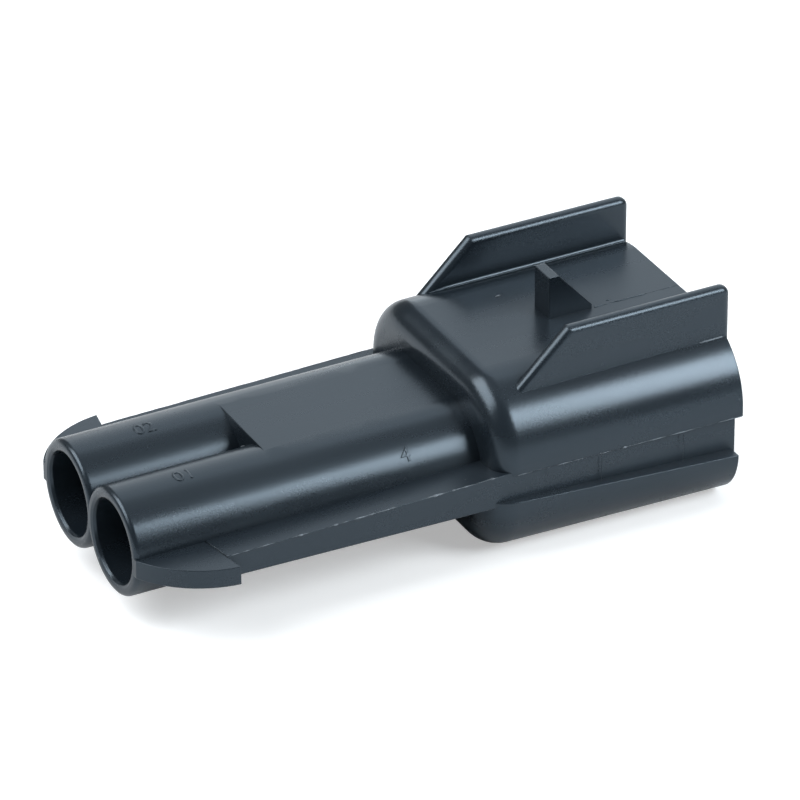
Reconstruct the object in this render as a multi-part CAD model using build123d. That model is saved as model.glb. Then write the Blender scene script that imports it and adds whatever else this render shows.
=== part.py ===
from build123d import *
from math import cos, radians, tan
import os

# Two-way sealed connector housing, one plastic moulding, in millimetres.
# It is drawn with X running from the wire mouths to the mating mouth, Y across the two ways
# and Z zero on the axes of the wire bores. The last lines move it to its resting frame.

# ways and wire bores
way_count = 2
way_pitch = 7.0
seal_bore_radius = 3.0
seal_bore_depth = 9.6
mouth_round = 0.3
tube_wall = 0.88
tube_edge_round = 0.4
tube_draft = 0.12

# terminal chamber behind each seal bore, with its locking lance
bore_taper = 1.2
chamber_half_width = 2.1
chamber_roof = 2.35
chamber_floor = -1.9
chamber_round = 0.5
stop_wall = 1.3
tab_slot_width = 2.9
tab_slot_height = 1.2
tab_slot_gap = 0.4
lance_width = 2.2
lance_length = 8.6
lance_thickness = 0.7
lance_under = 0.85
lance_tooth = 0.6
lance_tooth_ramp = 1.7
lance_tip_flat = 0.5
lance_root = 1.0
lance_root_slope = 0.4
lance_play = 0.2
lance_tip_gap = 0.5

# web between the tubes
web_front = 11.6

# blade along both sides, and the swept snap wings at its front
blade_half_width = 9.85
blade_front_top = 0.68
blade_top_slope = 1.06
blade_front_bottom = -1.0
blade_bottom_slope = 1.1
wing_half_width = 11.32
wing_back = 5.92
wing_back_angle = 10.2
wing_top = 0.6
wing_bottom = -0.78
wing_sweep_radius = 7.5

# hood, whose two shells lie above and below the blade
mouth = 45.3
waist_setback = 0.4
lower_setback = 0.64
hood_front = 26.2
hood_wall = 1.35
hood_floor = 2.1
hood_front_round = 1.75
waist_top = 0.85
upper_half_width_front = 9.95
upper_half_width_mouth = 10.25
upper_top = 6.7
upper_shoulder_radius = 5.25
lower_front = 25.2
lower_half_width_front = 10.35
lower_half_width_mouth = 10.9
lower_bottom = -5.9
lower_corner_radius = 4.15
lower_front_round = 2.4
ledge_front = -0.95
ledge_mouth = -1.82
cavity_lead_in = 0.3

# guard rails on the shoulders
rail_outer = 7.67
rail_thickness = 1.0
rail_top = 9.8
rail_foot = 29.72
rail_overrun = 0.3
rail_ramp_angle = 44.0
rail_sink = 1.6
rail_edge_round = 0.42
rail_back_round = 0.6

# lock wedge between the rails
wedge_front = 34.95
wedge_flat = 0.75
wedge_half_width = 1.03
wedge_top = 9.95
wedge_toe = 38.35
wedge_toe_height = 0.3

tube_radius = seal_bore_radius + tube_wall
waist_end = mouth - waist_setback
lower_end = mouth - lower_setback
rail_end = mouth + rail_overrun
cavity_floor = hood_front + hood_floor
chamber_end = cavity_floor - stop_wall
way_centres = [way_pitch * (i - (way_count - 1) / 2) for i in range(way_count)]


def across(x):
    """Sketch plane square to the length at x: sketch x is Y, sketch y is Z."""
    return Plane(origin=(x, 0, 0), x_dir=(0, 1, 0), z_dir=(1, 0, 0))


def along(y=0.0):
    """Sketch plane along the length at y: sketch x is X, sketch y is Z, facing -Y."""
    return Plane(origin=(0, y, 0), x_dir=(1, 0, 0), z_dir=(0, -1, 0))


# one tube: a drafted round with a softened mouth edge
def tube(y):
    end_radius = tube_radius + cavity_floor * tan(radians(tube_draft))
    with BuildPart() as body:
        with BuildSketch(Plane(origin=(0, y, 0), x_dir=(1, 0, 0), z_dir=(0, -1, 0))) as half:
            with BuildLine():
                Polyline((0, 0), (0, tube_radius), (cavity_floor, end_radius), (cavity_floor, 0), close=True)
            make_face()
            fillet(half.vertices().sort_by(Axis.X)[:2].sort_by(Axis.Z)[-1], tube_edge_round)
        revolve(axis=Axis((0, y, 0), (1, 0, 0)))
    return body.part


# what is taken out of one way: seal bore with its end taper and a lip rounded in two steps, chamber,
# slot and window
def way_void(y):
    lip_middle = mouth_round * (1 - cos(radians(45)))
    with BuildPart() as bore:
        with BuildSketch(along(y)):
            with BuildLine():
                Polyline(
                    (-1, 0), (-1, seal_bore_radius + mouth_round), (0, seal_bore_radius + mouth_round),
                    (lip_middle, seal_bore_radius + lip_middle), (mouth_round, seal_bore_radius),
                    (seal_bore_depth, seal_bore_radius),
                    (seal_bore_depth + bore_taper, chamber_half_width - 0.1),
                    (seal_bore_depth + bore_taper, 0), close=True)
            make_face()
        revolve(axis=Axis((0, y, 0), (1, 0, 0)))
    chamber_face = RectangleRounded(2 * chamber_half_width, chamber_roof - chamber_floor, chamber_round)
    chamber = extrude(
        across(seal_bore_depth) * Pos(y, (chamber_roof + chamber_floor) / 2) * chamber_face,
        chamber_end - seal_bore_depth)
    slot_middle = lance_under - lance_tooth - tab_slot_gap - tab_slot_height / 2
    slot_length = 2 * stop_wall
    slot = Pos(chamber_end - 0.5, y, slot_middle) * Box(
        slot_length, tab_slot_width, tab_slot_height, align=(Align.MIN, Align.CENTER, Align.CENTER))
    window_floor = lance_under - lance_play
    window = Pos(chamber_end - 0.5, y, window_floor) * Box(
        slot_length, lance_width + 2 * lance_play, chamber_roof - chamber_round - window_floor,
        align=(Align.MIN, Align.CENTER, Align.MIN))
    return bore.part + chamber + slot + window


# the springy lance that holds a terminal, rooted in the chamber roof
def lance(y):
    tip = chamber_end - lance_tip_gap
    root = tip - lance_length
    top = lance_under + lance_thickness
    tooth = lance_under - lance_tooth
    ramp_start = tip - lance_tip_flat - lance_tooth_ramp
    outline = Polyline(
        (root, lance_under), (ramp_start, lance_under), (tip - lance_tip_flat, tooth),
        (tip, tooth), (tip, top), (root + lance_root + lance_root_slope, top),
        (root + lance_root, chamber_roof + 0.3), (root, chamber_roof + 0.3), close=True)
    return extrude(along(y) * make_face(outline), lance_width / 2, both=True)


# solid web that joins the crests and the undersides of the tubes
def web():
    crest = tube_radius + web_front * tan(radians(tube_draft))
    return Pos(web_front, 0, 0) * Box(
        cavity_floor - web_front, way_pitch, 2 * crest, align=(Align.MIN, Align.CENTER, Align.CENTER))


# back edge of the wings, which runs towards the tube mouths on its way in
def wing_back_at(y):
    return wing_back - (wing_half_width - abs(y)) * tan(radians(wing_back_angle))


# blade with a drafted top and underside, from the back edge of the wings to the hood, where it goes
# on as the hood's waist
def blade():
    def roof(x):
        return blade_front_top + (x - wing_back) * tan(radians(blade_top_slope))

    def floor(x):
        return blade_front_bottom - (x - wing_back) * tan(radians(blade_bottom_slope))

    start = wing_back_at(0)
    roof_end = hood_front + hood_front_round
    floor_end = lower_front + lower_front_round
    waist_bottom = ledge_mouth - hood_wall
    outline = Polyline(
        (start, floor(start)), (floor_end, floor(floor_end)), (floor_end, waist_bottom),
        (waist_end, waist_bottom), (waist_end, waist_top), (roof_end, waist_top),
        (roof_end, roof(roof_end)), (start, roof(start)), close=True)
    half = blade_half_width
    plan = Polyline(
        (start, 0), (wing_back_at(half), -half), (waist_end, -half), (waist_end, half),
        (wing_back_at(half), half), close=True)
    upright = extrude(Plane.XY.offset(waist_bottom) * make_face(plan), roof(roof_end) - waist_bottom)
    return upright & extrude(along() * make_face(outline), half + 1, both=True)


# snap wings: one flat plate whose leading edges sweep out from the tube mouths
def wings():
    root = way_centres[-1] + tube_radius
    tip = wing_half_width
    with BuildPart() as plate:
        with BuildSketch(Plane.XY.offset(wing_bottom)):
            with BuildLine():
                RadiusArc((0, root), (wing_back, tip), wing_sweep_radius)
                Polyline((wing_back, tip), (wing_back_at(0), 0), (wing_back, -tip))
                RadiusArc((wing_back, -tip), (0, -root), wing_sweep_radius)
                Line((0, -root), (0, root))
            make_face()
        extrude(amount=wing_top - wing_bottom)
    return plate.part


# block between two stations whose sides, floor and roof may each run at a draft
def drafted_block(start, end, half_widths, floors, roofs):
    plan = Polyline(
        (start, -half_widths[0]), (end, -half_widths[1]), (end, half_widths[1]), (start, half_widths[0]),
        close=True)
    profile = Polyline((start, floors[0]), (end, floors[1]), (end, roofs[1]), (start, roofs[0]), close=True)
    depth = max(half_widths) + 1
    upright = extrude(Plane.XY.offset(min(floors) - 1) * make_face(plan), max(roofs) - min(floors) + 2)
    return upright & extrude(along() * make_face(profile), depth, both=True)


def long_edges(block, top):
    """The two edges that run the length of a block, at its roof or at its floor."""
    runs = [edge for edge in block.edges() if abs(edge.tangent_at(0.5).X) > 0.5]
    ordered = sorted(runs, key=lambda edge: edge.center().Z)
    return ordered[-2:] if top else ordered[:2]


def front_edges(shell, lowest, highest):
    """Edges of a shell's front face, without the one that is buried in the blade."""
    edges = shell.faces().sort_by(Axis.X)[0].edges()
    return [edge for edge in edges if lowest < edge.center().Z < highest]


# upper shell: flat top, large shoulder rounds, upright sides that stop at the blade
def upper_shell():
    body = drafted_block(
        hood_front, mouth, (upper_half_width_front, upper_half_width_mouth),
        (waist_top, waist_top), (upper_top, upper_top))
    body = fillet(long_edges(body, top=True), upper_shoulder_radius)
    return fillet(front_edges(body, waist_top + 0.01, 99), hood_front_round)


# lower shell: a wider tray with a flat bottom and a rim that falls towards the mouth
def lower_shell():
    body = drafted_block(
        lower_front, lower_end, (lower_half_width_front, lower_half_width_mouth),
        (lower_bottom, lower_bottom), (ledge_front, ledge_mouth))
    body = fillet(long_edges(body, top=False), lower_corner_radius)
    return fillet(front_edges(body, -99, ledge_front - 0.01), lower_front_round)


# mating cavity: both shells drawn in by the wall and flared at the mouth, with a key rib left
# inside the waist on each side
def cavity():
    through = mouth + 0.5
    upper_halves = (upper_half_width_front - hood_wall, upper_half_width_mouth - hood_wall)
    lower_halves = (lower_half_width_front - hood_wall, lower_half_width_mouth - hood_wall)
    roof = upper_top - hood_wall
    floor = lower_bottom + hood_wall
    upper = drafted_block(cavity_floor, through, upper_halves, (waist_top, waist_top), (roof, roof))
    upper = fillet(long_edges(upper, top=True), upper_shoulder_radius - hood_wall)
    flare = drafted_block(
        mouth - 2 * cavity_lead_in, mouth,
        (upper_halves[1] - cavity_lead_in, upper_halves[1] + cavity_lead_in),
        (waist_top, waist_top), (roof - cavity_lead_in, roof + cavity_lead_in))
    flare = fillet(long_edges(flare, top=True), upper_shoulder_radius - hood_wall)
    lower = drafted_block(cavity_floor, through, lower_halves, (floor, floor), (waist_top, waist_top))
    lower = fillet(long_edges(lower, top=False), lower_corner_radius - hood_wall)
    void = upper + flare + lower
    for side in (-1, 1):
        void -= Pos(cavity_floor, side * (blade_half_width - hood_wall), waist_top) * Box(
            mouth, 4, waist_top - ledge_mouth + hood_wall,
            align=(Align.MIN, Align.MIN if side > 0 else Align.MAX, Align.MAX))
    return void


# guard rail on one shoulder: ramped at the front, softened along its free edges
def rail(side):
    ramp_run = (rail_top - upper_top) / tan(radians(rail_ramp_angle))
    foot_run = rail_sink / tan(radians(rail_ramp_angle))
    foot = upper_top - rail_sink
    with BuildPart() as fence:
        with BuildSketch(along(side * (rail_outer - rail_thickness / 2))):
            with BuildLine():
                Polyline(
                    (rail_foot - foot_run, foot), (rail_foot + ramp_run, rail_top),
                    (rail_end, rail_top), (rail_end, foot), close=True)
            make_face()
        extrude(amount=rail_thickness / 2, both=True)
        across_edges = fence.edges().filter_by(Axis.Y)
        back_corner = across_edges.sort_by(lambda edge: edge.center().X + edge.center().Z)[-1]
        fillet(back_corner, rail_back_round)
        free_faces = [
            face for face in fence.faces()
            if face.center().Z > upper_top and abs(face.normal_at().Y) < 0.5]
        free_edges = [
            edge for face in free_faces for edge in face.edges()
            if abs(edge.center().Y - side * (rail_outer - rail_thickness / 2)) > rail_thickness / 4]
        fillet(free_edges, rail_edge_round)
    return fence.part


# lock wedge: upright towards the tubes, ramped towards the mating mouth
def lock_wedge():
    outline = Polyline(
        (wedge_front, upper_top - 0.5), (wedge_front, wedge_top), (wedge_front + wedge_flat, wedge_top),
        (wedge_toe, upper_top + wedge_toe_height), (wedge_toe, upper_top - 0.5), close=True)
    return extrude(along() * make_face(outline), wedge_half_width, both=True)


housing = blade() + wings() + web()
for y in way_centres:
    housing += tube(y)
housing += upper_shell()
housing += lower_shell()
for side in (-1, 1):
    housing += rail(side)
housing += lock_wedge()
housing -= cavity()
for y in way_centres:
    housing -= way_void(y)
    housing += lance(y)

# the resting frame has its origin at the middle of the length, on the hood's flat bottom
housing = Pos(-rail_end / 2, 0, -lower_bottom) * housing

os.makedirs("parts", exist_ok=True)
export_step(housing, "parts/housing.step")
print("housing: solids", len(housing.solids()), "volume mm3", round(housing.volume, 1))
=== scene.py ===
import math

import bmesh
import bpy
from mathutils import Matrix, Vector


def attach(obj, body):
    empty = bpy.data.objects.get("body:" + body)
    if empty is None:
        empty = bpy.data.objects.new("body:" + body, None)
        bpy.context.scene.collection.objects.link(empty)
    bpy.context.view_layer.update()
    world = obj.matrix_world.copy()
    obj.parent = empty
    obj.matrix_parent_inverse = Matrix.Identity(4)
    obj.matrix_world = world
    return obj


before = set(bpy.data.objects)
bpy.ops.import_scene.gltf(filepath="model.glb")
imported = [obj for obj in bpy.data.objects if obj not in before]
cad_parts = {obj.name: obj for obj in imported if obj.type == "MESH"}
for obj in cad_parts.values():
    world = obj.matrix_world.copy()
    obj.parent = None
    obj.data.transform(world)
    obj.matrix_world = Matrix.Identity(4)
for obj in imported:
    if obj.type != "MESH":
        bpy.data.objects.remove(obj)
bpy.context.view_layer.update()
mm = 0.001
print("frame loaded")


# small helpers

def toMetres(x, y, z):
    return Vector((x * mm, y * mm, z * mm))


# each input takes a plain value, or another node's output, which is linked to it
def addNode(tree, kind, spot, inputs=None, **settings):
    node = tree.nodes.new(kind)
    node.location = spot
    for name, value in settings.items():
        setattr(node, name, value)
    for name, source in (inputs or {}).items():
        if isinstance(source, bpy.types.NodeSocket):
            tree.links.new(source, node.inputs[name])
        else:
            node.inputs[name].default_value = source
    return node


def addMath(tree, operation, spot, *terms):
    node = addNode(tree, "ShaderNodeMath", spot, dict(enumerate(terms)), operation=operation)
    return node.outputs[0]


def addRange(tree, spot, value, fromEnds=(0.0, 1.0), toEnds=(0.0, 1.0), **settings):
    inputs = {"Value": value, "From Min": fromEnds[0], "From Max": fromEnds[1],
              "To Min": toEnds[0], "To Max": toEnds[1]}
    return addNode(tree, "ShaderNodeMapRange", spot, inputs, **settings).outputs["Result"]


def addMix(tree, kind, spot, share, first, second):
    inputs = {"Factor": share, "A": first, "B": second}
    return addNode(tree, "ShaderNodeMix", spot, inputs, data_type=kind).outputs["Result"]


def addSocket(group, name, direction, kind="NodeSocketFloat", value=None):
    socket = group.interface.new_socket(name, in_out=direction, socket_type=kind)
    if value is not None:
        socket.default_value = value
    return socket


def addObject(name, data):
    added = bpy.data.objects.new(name, data)
    bpy.context.scene.collection.objects.link(added)
    return added


# the object as evaluated, as a plain mesh
def plainMesh(source):
    graph = bpy.context.evaluated_depsgraph_get()
    return bpy.data.meshes.new_from_object(source.evaluated_get(graph))


# a mesh of this shape with its faces outwards
def meshFrom(name, shape):
    bmesh.ops.recalc_face_normals(shape, faces=shape.faces)
    mesh = bpy.data.meshes.new(name)
    shape.to_mesh(mesh)
    shape.free()
    return mesh


def addPiece(name, mesh, material):
    piece = addObject(name, mesh)
    mesh.materials.clear()
    mesh.materials.append(material)
    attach(piece, "root")
    return piece


# unit vector; the azimuth, from +Y towards +X, and the elevation are in degrees
def directionOf(azimuth, elevation):
    turn = math.radians(azimuth)
    rise = math.radians(elevation)
    return Vector((math.sin(turn) * math.cos(rise), math.cos(turn) * math.cos(rise), math.sin(rise)))


# moulded plastic

plastic = {
    "colour": (0.0075, 0.0113, 0.0155, 1.0),
    "flowColour": (0.0098, 0.0140, 0.0186, 1.0),
    "wearColour": (0.060, 0.070, 0.080, 1.0),
    "wear": 0.35,            # how much of it shows on a rubbed edge
    "tint": (0.69, 0.85, 1.0, 1.0),
    "ior": 1.56,
    "shine": 0.5,            # specular level in the open
    "paintedShadeShine": 0.31,     # and in an inner corner, dimmed there as painted shade
    "roughness": 0.27,
    "flowDull": (-0.03, 0.04),       # roughness added, from fast flow to slow
    "grainDull": 0.05,       # roughness gained from pit to crest
    "edgeRound": 0.10,       # mm, how far the shading rounds an edge
    "railRound": 0.42,       # mm, the same on the guard rails
    "paintedShadeReach": 1.3,      # mm, how far the painted shade dims the shine into an inner corner
    "grainSize": 0.20,       # mm, between the pits of the eroded mould face
    "grainDepth": 0.0036,    # mm
    "flowLength": 5.0,       # mm, along the fill
    "waveDepth": 0.004,      # mm, slow sink and flow ripple
}

mouldedSkin = {
    "detail": 3.0,           # octaves of the grain and the flow
    "grainRoughness": 0.6,
    "flowRoughness": 0.5,
    "flowStretch": (0.22, 1.0, 1.0),     # draws the flow out along X
    "flowEnds": (0.30, 0.72),        # noise value where none and all of the flow colour shows
    "wavesPerMetre": 260.0,
    "waveDetail": 1.0,
    "specksPerMetre": 420.0,
    "speckEnds": (0.035, 0.010),     # share of a cell, at a speck's rim and where it is full
}


def buildMouldedSkin():
    group = bpy.data.node_groups.new("moulded skin", "ShaderNodeTree")
    addSocket(group, "Grain Size", "INPUT", value=plastic["grainSize"])
    addSocket(group, "Flow Length", "INPUT", value=plastic["flowLength"])
    for name in ("Flow", "Grain", "Wave", "Specks"):
        addSocket(group, name, "OUTPUT")
    inputs = addNode(group, "NodeGroupInput", (-1200, 0)).outputs
    where = addNode(group, "ShaderNodeTexCoord", (-1200, 300)).outputs["Object"]
    perMetre = 1.0 / mm      # the sizes come in millimetres, the coordinates in metres

    # pits left by the eroded mould face
    perGrain = addMath(group, "DIVIDE", (-950, -150), perMetre, inputs["Grain Size"])
    grain = addNode(group, "ShaderNodeTexNoise", (-700, -150), {
        "Vector": where, "Scale": perGrain,
        "Detail": mouldedSkin["detail"], "Roughness": mouldedSkin["grainRoughness"]})

    # flow of the melt
    drawn = addNode(group, "ShaderNodeMapping", (-950, 300), {
        "Vector": where, "Scale": mouldedSkin["flowStretch"]})
    perFlow = addMath(group, "DIVIDE", (-950, 80), perMetre, inputs["Flow Length"])
    flow = addNode(group, "ShaderNodeTexNoise", (-700, 250), {
        "Vector": drawn.outputs["Vector"], "Scale": perFlow,
        "Detail": mouldedSkin["detail"], "Roughness": mouldedSkin["flowRoughness"]})
    spread = addRange(group, (-450, 250), flow.outputs["Fac"], mouldedSkin["flowEnds"],
                      interpolation_type="SMOOTHSTEP")

    # slow sink ripple
    wave = addNode(group, "ShaderNodeTexNoise", (-700, 0), {
        "Vector": where, "Scale": mouldedSkin["wavesPerMetre"], "Detail": mouldedSkin["waveDetail"]})

    # a few dust specks and nibs
    cells = addNode(group, "ShaderNodeTexVoronoi", (-700, -450), {
        "Vector": where, "Scale": mouldedSkin["specksPerMetre"], "Randomness": 1.0}, feature="F1")
    near = addRange(group, (-450, -450), cells.outputs["Distance"], mouldedSkin["speckEnds"])

    addNode(group, "NodeGroupOutput", (700, 0), {
        "Flow": spread, "Grain": grain.outputs["Fac"], "Wave": wave.outputs["Fac"], "Specks": near})
    return group


edgeMask = {
    "roundSamples": 12,
    "turnEnds": (0.995, 0.86),       # cosine between rounded and true normal, on the open face and on an edge
    "nookReach": 0.6,        # mm, a corner as near as this keeps its true normal
    "nookSamples": 6,
    "nookEnds": (0.80, 0.97),        # how open the face is, in a corner and clear of it
    "paintedShadeSamples": 8,
    "paintedShadeEnds": (0.95, 0.40),      # how open the face is, where the painted corner shade is none and where it is full
}


# Edge is 1 along an outer edge and 0 on the open face and in corners, Corner is 1 deep in an inner corner and
# drives the painted shade there, and Rounded is the normal with its outer edges rounded
def buildEdgeMask():
    group = bpy.data.node_groups.new("edge mask", "ShaderNodeTree")
    addSocket(group, "Radius", "INPUT", value=plastic["edgeRound"] * mm)
    addSocket(group, "Painted Shade Reach", "INPUT", value=plastic["paintedShadeReach"] * mm)
    addSocket(group, "Edge", "OUTPUT")
    addSocket(group, "Painted Shade", "OUTPUT")
    addSocket(group, "Rounded", "OUTPUT", "NodeSocketVector")
    inputs = addNode(group, "NodeGroupInput", (-900, 0)).outputs
    rounded = addNode(group, "ShaderNodeBevel", (-650, 0), {"Radius": inputs["Radius"]},
                      samples=edgeMask["roundSamples"])
    facing = addNode(group, "ShaderNodeNewGeometry", (-650, -200))
    dot = addNode(group, "ShaderNodeVectorMath", (-420, -100), {
        0: rounded.outputs["Normal"], 1: facing.outputs["Normal"]}, operation="DOT_PRODUCT")
    turned = addRange(group, (-180, -100), dot.outputs["Value"], edgeMask["turnEnds"])
    nook = addNode(group, "ShaderNodeAmbientOcclusion", (-650, 250), {"Distance": edgeMask["nookReach"] * mm},
                   samples=edgeMask["nookSamples"], only_local=True)
    clear = addRange(group, (-180, 250), nook.outputs["AO"], edgeMask["nookEnds"])
    # painted shade: this occlusion finds inner corners, where the shine is dimmed
    paintedShadeOcclusion = addNode(group, "ShaderNodeAmbientOcclusion", (-650, 500), {"Distance": inputs["Painted Shade Reach"]},
                     samples=edgeMask["paintedShadeSamples"], only_local=True)
    corner = addRange(group, (-180, 500), paintedShadeOcclusion.outputs["AO"], edgeMask["paintedShadeEnds"])
    mixed = addMix(group, "VECTOR", (200, 100), clear, facing.outputs["Normal"], rounded.outputs["Normal"])
    edge = addMath(group, "MULTIPLY", (200, -150), turned, clear)
    addNode(group, "NodeGroupOutput", (700, 0), {"Edge": edge, "Painted Shade": corner, "Rounded": mixed})
    return group


# the guard rails, whose edges are rounder than the rest
railArea = {
    "sideEnds": (5.8, 6.2),          # mm from the middle plane, outside the rails and on them
    "heightEnds": (12.7, 13.2),      # mm above the floor
}


def buildRailArea():
    group = bpy.data.node_groups.new("rail area", "ShaderNodeTree")
    addSocket(group, "Plain Radius", "INPUT", value=plastic["edgeRound"] * mm)
    addSocket(group, "Rail Radius", "INPUT", value=plastic["railRound"] * mm)
    addSocket(group, "Radius", "OUTPUT")
    inputs = addNode(group, "NodeGroupInput", (-900, -200)).outputs
    where = addNode(group, "ShaderNodeTexCoord", (-1100, 100)).outputs["Object"]
    apart = addNode(group, "ShaderNodeSeparateXYZ", (-900, 100), {0: where})
    side = addMath(group, "ABSOLUTE", (-700, 50), apart.outputs["Y"])
    outer = addRange(group, (-500, 50), side, [end * mm for end in railArea["sideEnds"]])
    high = addRange(group, (-500, 300), apart.outputs["Z"], [end * mm for end in railArea["heightEnds"]])
    onRail = addMath(group, "MULTIPLY", (-250, 150), outer, high)
    chosen = addMix(group, "FLOAT", (0, 0), onRail, inputs["Plain Radius"], inputs["Rail Radius"])
    addNode(group, "NodeGroupOutput", (500, 0), {"Radius": chosen})
    return group


skinGroup = buildMouldedSkin()
edgeGroup = buildEdgeMask()
railGroup = buildRailArea()


def satinPlastic(name, look):
    material = bpy.data.materials.new(name)
    material.use_nodes = True
    tree = material.node_tree
    tree.nodes.clear()
    skin = addNode(tree, "ShaderNodeGroup", (-700, 100), {
        "Grain Size": look["grainSize"], "Flow Length": look["flowLength"]}, node_tree=skinGroup).outputs
    rail = addNode(tree, "ShaderNodeGroup", (-950, -200), {
        "Plain Radius": look["edgeRound"] * mm, "Rail Radius": look["railRound"] * mm},
        node_tree=railGroup).outputs
    edge = addNode(tree, "ShaderNodeGroup", (-700, -200), {
        "Radius": rail["Radius"], "Painted Shade Reach": look["paintedShadeReach"] * mm}, node_tree=edgeGroup).outputs

    # colour: dark body, paler flow, scuffed edges, a few pale specks
    body = addMix(tree, "RGBA", (-350, 300), skin["Flow"], look["colour"], look["flowColour"])
    rubbed = addMath(tree, "MULTIPLY", (-500, -50), edge["Edge"], skin["Flow"])
    worn = addMath(tree, "MULTIPLY", (-350, 50), rubbed, look["wear"])
    scuffed = addMix(tree, "RGBA", (-100, 300), worn, body, look["wearColour"])
    specked = addMix(tree, "RGBA", (150, 300), skin["Specks"], scuffed, look["wearColour"])

    # roughness: a little duller where the melt flowed slowly, and on the crests of the grain
    dullEnds = [look["roughness"] + part for part in look["flowDull"]]
    dull = addRange(tree, (150, 60), skin["Flow"], toEnds=dullEnds)
    centred = addMath(tree, "SUBTRACT", (150, -80), skin["Grain"], 0.5)
    pitted = addMath(tree, "MULTIPLY_ADD", (350, 60), centred, look["grainDull"], dull)

    # shine: less of it in inner corners, as painted shade
    shine = addRange(tree, (150, -500), edge["Painted Shade"], toEnds=(look["shine"], look["paintedShadeShine"]))

    # rounded edges, then ripple, then grain
    ripple = addNode(tree, "ShaderNodeBump", (100, -250), {
        "Distance": look["waveDepth"] * mm, "Height": skin["Wave"], "Normal": edge["Rounded"]})
    grain = addNode(tree, "ShaderNodeBump", (350, -250), {
        "Distance": look["grainDepth"] * mm, "Height": skin["Grain"], "Normal": ripple.outputs["Normal"]})

    shader = addNode(tree, "ShaderNodeBsdfPrincipled", (600, 0), {
        "Base Color": specked, "Roughness": pitted, "Specular IOR Level": shine,
        "Normal": grain.outputs["Normal"], "Specular Tint": look["tint"], "IOR": look["ior"]})
    addNode(tree, "ShaderNodeOutputMaterial", (900, 0), {"Surface": shader.outputs[0]})
    return material


housingPlastic = satinPlastic("satin black plastic", plastic)
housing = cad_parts["housing"]
for slotOfNode in housing.material_slots:
    slotOfNode.material = housingPlastic
print("housing dressed")


# sizes of the moulding that the finer pieces follow, in the drawing's own millimetres:
# X from the wire mouths, Z from the bore axes

drawing = {
    "halfLength": 22.8,      # from the wire mouths to the frame's origin
    "axisHeight": 5.9,       # of the bore axes above the frame's floor
    "wayOffset": 3.5,
    "tubeRadius": 3.88,
    "tubeSlope": 0.0021,     # draft, radius gained along X
    "bladeHalfWidth": 9.85,
    "bladeBack": 5.92,
    "bladeTop": 0.68,
    "bladeRise": 0.0185,
    "hoodFront": 26.2,
    "mouth": 45.3,
    "waistTop": 0.85,
    "hoodHalfWidths": (9.95, 10.25),     # at the hood's front and at the mouth
    "hoodTop": 6.7,
    "shoulderRadius": 5.25,
    "ledge": (-0.95, -1.82),             # at the hood's front and at the mouth
    "wedgeHalfWidth": 1.03,
    "wedgeToe": 38.35,
    "railInner": 6.67,
    "railOuter": 7.67,
    "railFoot": 29.72,
}


def fromDrawing(x, y, z):
    return toMetres(x - drawing["halfLength"], y, z + drawing["axisHeight"])


def alongHood(x, ends):
    share = (x - drawing["hoodFront"]) / (drawing["mouth"] - drawing["hoodFront"])
    return ends[0] + share * (ends[1] - ends[0])


def hoodHalfWidth(x):
    return alongHood(x, drawing["hoodHalfWidths"])


def bladeRoof(x):
    return drawing["bladeTop"] + (x - drawing["bladeBack"]) * drawing["bladeRise"]


# Y and Z of the line that the hood's shoulder is rounded about
def shoulderCentre(x):
    return hoodHalfWidth(x) - drawing["shoulderRadius"], drawing["hoodTop"] - drawing["shoulderRadius"]


# Z, at this Y, of a round about that line
def shoulderHeight(x, y, reach):
    middleY, middleZ = shoulderCentre(x)
    return middleZ + math.sqrt(reach ** 2 - (y - middleY) ** 2)


# flash: thin beads where the mould parts, and small nibs on them

flash = {
    "colour": (0.11, 0.125, 0.14, 1.0),     # paler than the body: a painted highlight, so the bead shows as a bright line
    "beadRadius": 0.042,     # mm
    "beadStep": 0.10,        # mm
    "beadSides": 8,
    "patchSize": 1.3,        # mm, how far apart the bead comes and goes
    "patchDetail": 3.0,
    "patchEnds": (0.42, 0.60),       # noise value where the bead is thinnest and thickest
    "swellEnds": (0.10, 1.35),       # share of its radius there
    "nibRadius": 0.085,      # mm
    "nibStretch": (2.2, 0.8, 0.8),
    "nibEnds": (0.7, 1.25),          # share of a nib's size, smallest and largest
    "nibRounding": 3,        # subdivisions of its ball
    "seed": 7,
    # how thick the bead is at each place; the far side parted cleaner
    "bladeShare": 1.0,
    "waistShare": 0.6,
    "shoulderShare": 1.2,
    "farShare": 0.3,
    # where the beads on the hood start and end: mm inside its front and its mouth, and stations
    "waistMargins": (1.5, 0.1),
    "shoulderStations": (43.2, 45.0),
    # stations of the larger nibs along the near edge of the blade
    "nibStations": (11.15, 13.8, 16.5, 17.75, 21.4, 22.8, 25.8),
    "waistNibStation": 36.0,
    # at the back corner of the near wing, on the hood's roof and at the foot of the web
    "looseNibs": ((5.1, -6.9, 0.62), (33.4, 3.5, 6.7), (11.45, -0.55, 2.75)),
}


# each line is its points in drawing millimetres and how thick the bead is there
def flashLines():
    lines = []
    start = drawing["hoodFront"] + flash["waistMargins"][0]
    end = drawing["mouth"] - flash["waistMargins"][1]
    for side, share in ((-1, 1.0), (1, flash["farShare"])):
        half = side * drawing["bladeHalfWidth"]
        lines.append(([(x, half, bladeRoof(x)) for x in (drawing["bladeBack"], drawing["hoodFront"])],
                      flash["bladeShare"] * share))
        lines.append(([(x, side * hoodHalfWidth(x), drawing["waistTop"]) for x in (start, end)],
                      flash["waistShare"] * share))
    outer = drawing["railOuter"]
    lines.append(([(x, -outer, shoulderHeight(x, outer, drawing["shoulderRadius"]))
                   for x in flash["shoulderStations"]], flash["shoulderShare"]))
    return lines


def flashNibs():
    station = flash["waistNibStation"]
    nibs = [(x, -drawing["bladeHalfWidth"], bladeRoof(x)) for x in flash["nibStations"]]
    nibs.append((station, -hoodHalfWidth(station), drawing["waistTop"]))
    return nibs + list(flash["looseNibs"])


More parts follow.
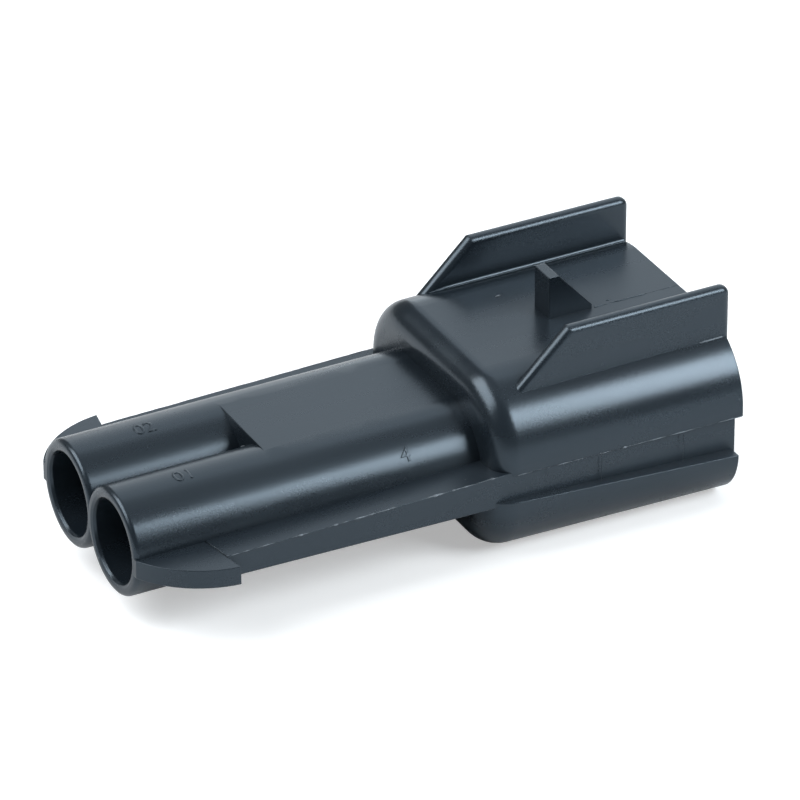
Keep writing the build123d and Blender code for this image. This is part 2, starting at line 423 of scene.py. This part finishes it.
# a mesh of loose edges for the lines and loose points for the nibs
def flashSkeleton(lines, nibs):
    points, edges, weights, isNib = [], [], [], []
    for line, weight in lines:
        for i, point in enumerate(line):
            if i:
                edges.append((len(points) - 1, len(points)))
            points.append(fromDrawing(*point))
            weights.append(weight)
            isNib.append(False)
    for nib in nibs:
        points.append(fromDrawing(*nib))
        weights.append(1.0)
        isNib.append(True)
    mesh = bpy.data.meshes.new("flash lines")
    mesh.from_pydata(points, edges, [])
    weight = mesh.attributes.new("weight", "FLOAT", "POINT")
    weight.data.foreach_set("value", weights)
    nib = mesh.attributes.new("nib", "BOOLEAN", "POINT")
    nib.data.foreach_set("value", isNib)
    return mesh


def buildFlashTree():
    tree = bpy.data.node_groups.new("flash", "GeometryNodeTree")
    addSocket(tree, "Lines", "INPUT", "NodeSocketGeometry")
    sockets = {}
    for name, kind in (("Bead Radius", "NodeSocketFloat"), ("Step", "NodeSocketFloat"),
                       ("Patch Size", "NodeSocketFloat"), ("Nib Radius", "NodeSocketFloat"),
                       ("Nib Stretch", "NodeSocketVector"),
                       ("Seed", "NodeSocketInt"), ("Plastic", "NodeSocketMaterial")):
        sockets[name] = addSocket(tree, name, "INPUT", kind).identifier
    addSocket(tree, "Beads", "OUTPUT", "NodeSocketGeometry")
    inputs = addNode(tree, "NodeGroupInput", (-1200, 0)).outputs

    # bead: thicker and thinner along the line, in patches
    lines = addNode(tree, "GeometryNodeMeshToCurve", (-900, 200), {"Mesh": inputs["Lines"]})
    stepped = addNode(tree, "GeometryNodeResampleCurve", (-700, 200), {
        "Curve": lines.outputs["Curve"], "Length": inputs["Step"]}, mode="LENGTH")
    where = addNode(tree, "GeometryNodeInputPosition", (-1200, -300))
    perPatch = addMath(tree, "DIVIDE", (-1000, -450), 1.0, inputs["Patch Size"])
    patches = addNode(tree, "ShaderNodeTexNoise", (-800, -350), {
        "Vector": where.outputs["Position"], "W": inputs["Seed"], "Scale": perPatch,
        "Detail": flash["patchDetail"]}, noise_dimensions="4D")
    swell = addRange(tree, (-550, -350), patches.outputs["Fac"], flash["patchEnds"], flash["swellEnds"])
    weight = addNode(tree, "GeometryNodeInputNamedAttribute", (-550, -100), {"Name": "weight"},
                     data_type="FLOAT")
    share = addMath(tree, "MULTIPLY", (-350, -150), swell, weight.outputs["Attribute"])
    thick = addMath(tree, "MULTIPLY", (-180, -150), share, inputs["Bead Radius"])
    ring = addNode(tree, "GeometryNodeCurvePrimitiveCircle", (0, 0), {
        "Resolution": flash["beadSides"], "Radius": 1.0})
    bead = addNode(tree, "GeometryNodeCurveToMesh", (200, 200), {
        "Curve": stepped.outputs["Curve"], "Profile Curve": ring.outputs["Curve"], "Scale": thick,
        "Fill Caps": True})

    # nibs: small rounds of uneven size on the loose points
    isNib = addNode(tree, "GeometryNodeInputNamedAttribute", (-550, 500), {"Name": "nib"},
                    data_type="BOOLEAN")
    spots = addNode(tree, "GeometryNodeMeshToPoints", (-350, 600), {
        "Mesh": inputs["Lines"], "Selection": isNib.outputs["Attribute"]})
    ball = addNode(tree, "GeometryNodeMeshIcoSphere", (-350, 800), {
        "Radius": 1.0, "Subdivisions": flash["nibRounding"]})
    uneven = addNode(tree, "FunctionNodeRandomValue", (-350, 400), {
        "Min": flash["nibEnds"][0], "Max": flash["nibEnds"][1], "Seed": inputs["Seed"]}, data_type="FLOAT")
    sized = addMath(tree, "MULTIPLY", (-180, 400), uneven.outputs["Value"], inputs["Nib Radius"])
    drawnOut = addNode(tree, "ShaderNodeVectorMath", (-20, 400), {
        0: inputs["Nib Stretch"], "Scale": sized}, operation="SCALE")
    nibs = addNode(tree, "GeometryNodeInstanceOnPoints", (50, 600), {
        "Points": spots.outputs["Points"], "Instance": ball.outputs["Mesh"],
        "Scale": drawnOut.outputs["Vector"]})

    both = addNode(tree, "GeometryNodeJoinGeometry", (400, 300), {0: bead.outputs["Mesh"]})
    tree.links.new(nibs.outputs["Instances"], both.inputs[0])
    smooth = addNode(tree, "GeometryNodeSetShadeSmooth", (550, 300), {0: both.outputs[0]})
    real = addNode(tree, "GeometryNodeRealizeInstances", (720, 300), {0: smooth.outputs[0]})
    painted = addNode(tree, "GeometryNodeSetMaterial", (900, 300), {
        "Geometry": real.outputs[0], "Material": inputs["Plastic"]})
    addNode(tree, "NodeGroupOutput", (1100, 0), {"Beads": painted.outputs["Geometry"]})
    return tree, sockets


flashTree, flashSockets = buildFlashTree()


def buildBeads(name, lines, nibs, radius, material):
    source = addObject(name + " source", flashSkeleton(lines, nibs))
    modifier = source.modifiers.new("flash", "NODES")
    modifier.node_group = flashTree
    settings = {
        "Bead Radius": radius * mm,
        "Step": flash["beadStep"] * mm,
        "Patch Size": flash["patchSize"] * mm,
        "Nib Radius": flash["nibRadius"] * mm,
        "Nib Stretch": flash["nibStretch"],
        "Seed": flash["seed"],
        "Plastic": material,
    }
    for socket, value in settings.items():
        modifier[flashSockets[socket]] = value
    mesh = plainMesh(source)
    source.modifiers.remove(modifier)
    bpy.data.objects.remove(source)
    mesh.name = name
    return addPiece(name, mesh, material)


# the flash's look: its paler colour is a painted highlight along the beads
paintedHighlightLook = {**plastic, "colour": flash["colour"], "flowColour": flash["colour"]}
flashPiece = buildBeads("mould_flash", flashLines(), flashNibs(), flash["beadRadius"],
                        satinPlastic("flash plastic with painted highlight", paintedHighlightLook))
print("flash made,", len(flashPiece.data.polygons), "faces")


# the lines that the mould's cores leave on the roof and across the waist

inserts = {
    "radius": 0.016,         # mm
    "roofShare": 2.4,        # how much thicker the line on the roof is
    "roofMargins": (0.2, 0.1),       # mm past the wedge's toe and inside the mouth
    "waistStations": (30.0, 34.2, 40.6),
    "nibs": ((39.9, -0.6, 6.68),),   # drawing millimetres, on the roof past the wedge's toe
}


def insertLines():
    wedgeSide = -drawing["wedgeHalfWidth"]
    start = drawing["wedgeToe"] + inserts["roofMargins"][0]
    end = drawing["mouth"] - inserts["roofMargins"][1]
    lines = [([(x, wedgeSide, drawing["hoodTop"]) for x in (start, end)], inserts["roofShare"])]
    for side in (-1, 1):
        for x in inserts["waistStations"]:
            half = side * hoodHalfWidth(x)
            ends = (drawing["waistTop"], alongHood(x, drawing["ledge"]))
            lines.append(([(x, half, z) for z in ends], 1.0))
    return lines


insertPiece = buildBeads("insert_lines", insertLines(), inserts["nibs"], inserts["radius"], housingPlastic)
print("insert lines made,", len(insertPiece.data.polygons), "faces")


# raised cavity numbers on the tubes

marks = {
    "height": 1.6,           # mm, size of the type
    "relief": 0.035,         # mm
    "sunk": 0.02,            # mm, how far the foot lies inside the tube
    "curveSteps": 6,
    "mergeDistance": 1e-7,   # metres
    # text, station along X, way (-1 near, 1 far), angle round the tube from its crest in degrees
    "numbers": (("01", 5.4, -1, -4.0), ("02", 5.75, 1, -6.0), ("4", 20.85, -1, -49.5)),
}


def buildNumber(text, station, way, angle):
    curve = bpy.data.curves.new("number " + text, "FONT")
    curve.body = text
    curve.align_x = "CENTER"
    curve.align_y = "CENTER"
    curve.size = marks["height"] * mm
    curve.extrude = 0.5 * marks["relief"] * mm       # it goes both ways
    curve.resolution_u = marks["curveSteps"]
    holder = addObject("number holder", curve)
    mesh = plainMesh(holder)
    bpy.data.objects.remove(holder)
    radius = drawing["tubeRadius"] + station * drawing["tubeSlope"]
    for vertex in mesh.vertices:
        u, v, depth = vertex.co / mm
        reach = radius + (marks["relief"] if depth > 0 else -marks["sunk"])
        turn = math.radians(angle) + v / radius
        side = way * drawing["wayOffset"] + reach * math.sin(turn)
        vertex.co = fromDrawing(station + u, side, reach * math.cos(turn))
    return mesh


def buildNumbers():
    joined = bmesh.new()
    for number in marks["numbers"]:
        joined.from_mesh(buildNumber(*number))
    bmesh.ops.remove_doubles(joined, verts=joined.verts, dist=marks["mergeDistance"])
    return addPiece("cavity_numbers", meshFrom("cavity numbers", joined), housingPlastic)


buildNumbers()
print("numbers made")


# small fillets along the feet of the guard rails

fillets = {
    "radius": 0.20,          # mm, on the side towards the lock wedge
    "steps": 8,
    "stations": 24,
    "tuck": 0.06,            # mm, how far the hidden corner lies inside the moulding
    "margins": (0.1, 0.05),  # mm, start before the rail's foot and end inside the mouth
    "startShare": 0.25,      # of the radius at the first station
    "growth": 3,             # stations in which it gains one whole radius
    "sharpAngle": 35,        # degrees
}


# round that touches the rail's upright inner face and the shoulder, as Y and Z
def filletProfile(x, face, radius):
    reach = drawing["shoulderRadius"] + radius
    centreY = face - radius
    centreZ = shoulderHeight(x, centreY, reach)
    middleY, middleZ = shoulderCentre(x)
    end = math.atan2(middleZ - centreZ, middleY - centreY)
    points = []
    for i in range(fillets["steps"] + 1):
        angle = end * i / fillets["steps"]
        points.append((centreY + radius * math.cos(angle), centreZ + radius * math.sin(angle)))
    corner = (face + fillets["tuck"], points[-1][1] - fillets["tuck"])
    return points + [corner]


def buildRailFillets():
    joined = bmesh.new()
    first = drawing["railFoot"] - fillets["margins"][0]
    last = drawing["mouth"] - fillets["margins"][1]
    for side in (-1, 1):
        rings = []
        for i in range(fillets["stations"] + 1):
            x = first + (last - first) * i / fillets["stations"]
            grown = fillets["radius"] * min(1.0, fillets["startShare"] + i / fillets["growth"])
            rings.append([joined.verts.new(fromDrawing(x, side * y, z))
                          for y, z in filletProfile(x, drawing["railInner"], grown)])
        for ring, nextRing in zip(rings, rings[1:]):
            for j in range(len(ring)):
                k = (j + 1) % len(ring)
                joined.faces.new((ring[j], ring[k], nextRing[k], nextRing[j])).smooth = True
        joined.faces.new(rings[0])
        joined.faces.new(rings[-1])
    mesh = meshFrom("rail fillets", joined)
    mesh.set_sharp_from_angle(angle=math.radians(fillets["sharpAngle"]))
    return addPiece("rail_fillets", mesh, housingPlastic)


buildRailFillets()
print("rail fillets made")


# floor and light

studio = {
    "floorSize": 6.0,        # metres
    "floorColour": (0.72, 0.735, 0.75, 1.0),
    "seenGlow": 0.40,        # keeps the paper white where the camera sees it
    "roomColour": (0.95, 0.98, 1.0, 1.0),
    "roomLevel": 0.17,
    "aim": (0, 0, 7),        # mm, where the lamps point
    "lampPower": 4.0,        # watts for each square metre of a lamp and unit of its level
}


def buildFloor():
    material = bpy.data.materials.new("pale floor")
    material.use_nodes = True
    tree = material.node_tree
    tree.nodes.clear()
    paper = addNode(tree, "ShaderNodeBsdfDiffuse", (0, 100), {"Color": studio["floorColour"]})
    rays = addNode(tree, "ShaderNodeLightPath", (-500, -100))
    seen = addMath(tree, "MULTIPLY", (-300, -50), rays.outputs["Is Camera Ray"], studio["seenGlow"])
    glow = addNode(tree, "ShaderNodeEmission", (0, -100), {"Strength": seen})
    both = addNode(tree, "ShaderNodeAddShader", (300, 0), {0: paper.outputs[0], 1: glow.outputs[0]})
    addNode(tree, "ShaderNodeOutputMaterial", (600, 0), {"Surface": both.outputs[0]})
    half = studio["floorSize"] / 2
    corners = [(-half, -half, 0), (half, -half, 0), (half, half, 0), (-half, half, 0)]
    mesh = bpy.data.meshes.new("floor")
    mesh.from_pydata(corners, [], [(0, 1, 2, 3)])
    mesh.materials.append(material)
    floor = addObject("floor", mesh)


# each card faces the object: azimuth from +Y towards +X and elevation in degrees, distance, width and
# height in metres, radiance, colour
lamps = {
    "right box": {"azimuth": 139, "elevation": 34.8, "away": 0.32, "size": (0.152, 0.149), "level": 10.3,
                  "colour": (0.95, 0.985, 1.0)},
    "left box": {"azimuth": -68, "elevation": 50, "away": 0.60, "size": (0.54, 0.42), "level": 4.8,
                 "colour": (0.99, 1.0, 1.0)},
    "back wall": {"azimuth": 48, "elevation": 27, "away": 1.00, "size": (1.15, 1.32), "level": 0.88,
                  "colour": (0.84, 0.93, 1.0)},
    "back strip": {"azimuth": 32, "elevation": 6, "away": 0.90, "size": (0.45, 0.22), "level": 0.45,
                   "colour": (0.90, 0.96, 1.0)},
    "ceiling": {"azimuth": 80, "elevation": 78, "away": 0.90, "size": (0.90, 0.70), "level": 0.26,
                "colour": (1.0, 1.0, 1.0)},
}


def addLamp(name, settings):
    light = bpy.data.lights.new(name, "AREA")
    light.shape = "RECTANGLE"
    light.size, light.size_y = settings["size"]
    light.energy = settings["level"] * studio["lampPower"] * light.size * light.size_y
    light.color = settings["colour"]
    lamp = addObject(name, light)
    towards = directionOf(settings["azimuth"], settings["elevation"])
    lamp.location = toMetres(*studio["aim"]) + towards * settings["away"]
    lamp.rotation_euler = towards.to_track_quat("Z", "Y").to_euler()


def buildWorld():
    world = bpy.data.worlds.new("studio")
    bpy.context.scene.world = world
    world.use_nodes = True
    tree = world.node_tree
    tree.nodes.clear()
    rays = addNode(tree, "ShaderNodeLightPath", (-400, 0))
    level = addRange(tree, (-200, 0), rays.outputs["Is Camera Ray"], toEnds=(studio["roomLevel"], 1.0))
    room = addNode(tree, "ShaderNodeBackground", (0, 0), {"Color": studio["roomColour"], "Strength": level})
    addNode(tree, "ShaderNodeOutputWorld", (400, 0), {"Surface": room.outputs[0]})


buildFloor()
buildWorld()
for lampName, lampSettings in lamps.items():
    addLamp(lampName, lampSettings)
print("floor and lamps set")


# camera at the photograph's angle

cameraView = {
    "target": (1.023, 0.0, 8.633),   # mm, at the middle of the picture
    "azimuth": 27.443,               # degrees, turned from looking along +Y towards +X
    "elevation": 30.378,
    "roll": -0.27,
    "distance": 449.9,               # mm
    "lens": 292.9,                   # mm
    "sensorWidth": 36.0,             # mm
    "clipStart": 0.01,               # metres
}


def addCamera():
    data = bpy.data.cameras.new("camera")
    data.sensor_width = cameraView["sensorWidth"]
    data.sensor_fit = "HORIZONTAL"
    data.lens = cameraView["lens"]
    data.clip_start = cameraView["clipStart"]
    camera = addObject("camera", data)
    forward = directionOf(cameraView["azimuth"], -cameraView["elevation"])
    camera.location = toMetres(*cameraView["target"]) - forward * cameraView["distance"] * mm
    facing = (-forward).to_track_quat("Z", "Y")
    roll = Matrix.Rotation(math.radians(cameraView["roll"]), 4, "Z")
    camera.rotation_euler = (facing.to_matrix().to_4x4() @ roll).to_euler()
    bpy.context.scene.camera = camera


addCamera()
bpy.context.scene.view_settings.view_transform = "Standard"
print("camera set")
